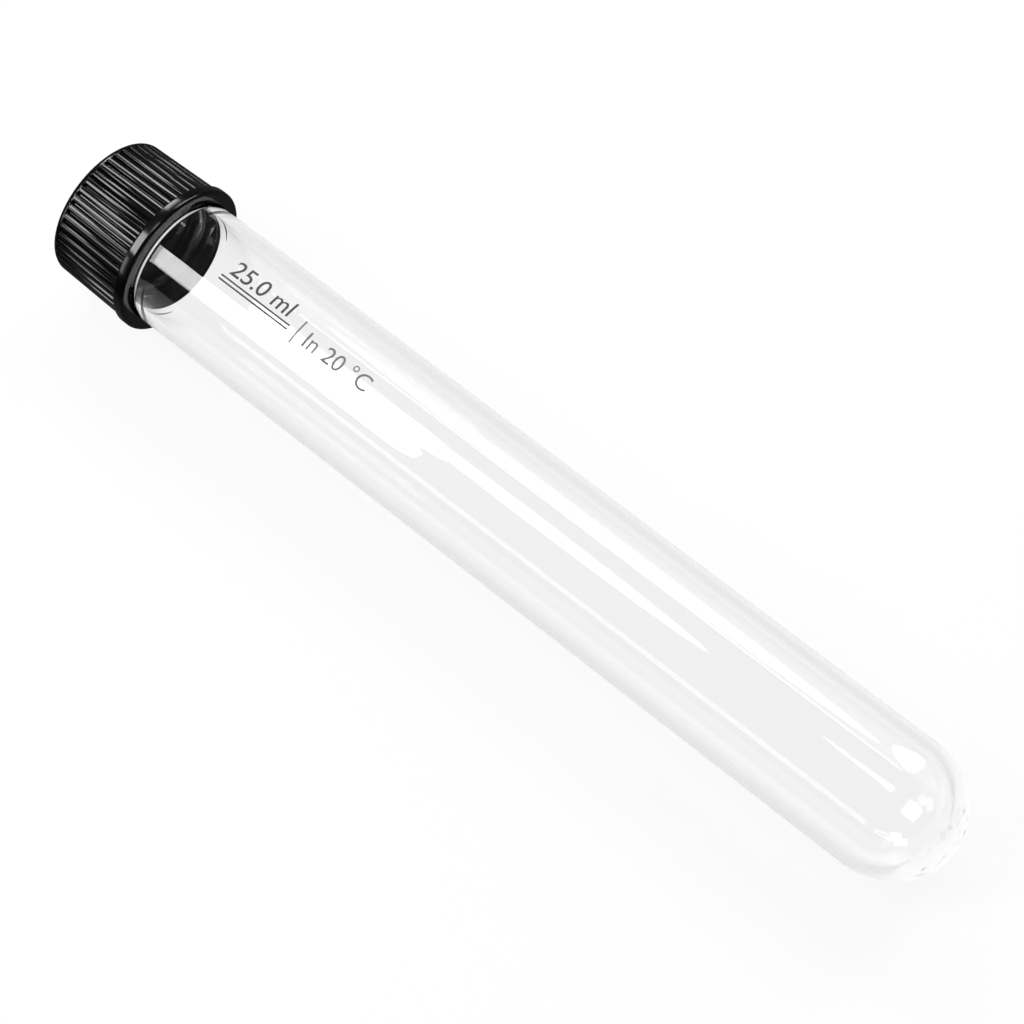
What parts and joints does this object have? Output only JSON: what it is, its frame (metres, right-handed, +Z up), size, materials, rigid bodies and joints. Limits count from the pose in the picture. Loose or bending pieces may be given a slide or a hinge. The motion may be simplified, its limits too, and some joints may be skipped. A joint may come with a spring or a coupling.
{
  "type": "screw-cap test tube",
  "caption": "Round-bottomed glass test tube lying on its side, closed by a black ribbed screw cap with a rubber liner; holds and stores liquid samples.",
  "frame": {"origin": "on the resting surface, under the middle of the capped tube", "axes": "+X along the tube from the cap to the round end, +Z up from the resting surface"},
  "size_m": [0.154, 0.0238, 0.0239],
  "materials": {
    "borosilicate_glass": "clear, fire polished",
    "black_phenolic": "moulded, semi-gloss",
    "black_rubber": "matt"
  },
  "bodies": {
    "tube": {"glass_tube": "borosilicate_glass"},
    "liner": {"cap_liner": "black_rubber"},
    "cap": {"screw_cap": "black_phenolic"}
  },
  "joints": [
    {"name": "cap_lift", "type": "slide", "parent": "tube", "child": "liner", "axis": [-1, 0, 0], "range_m": [0, 0.01271]},
    {"name": "cap_turn", "type": "hinge", "parent": "liner", "child": "cap", "pos_m": [-0.0695, 0, 0.01192], "axis": [-1, 0, 0], "range_deg": [0, 1440]}
  ],
  "couplings": [
    {"joint": "cap_lift", "follows": "cap_turn", "m_per_rad": 0.00050532}
  ]
}
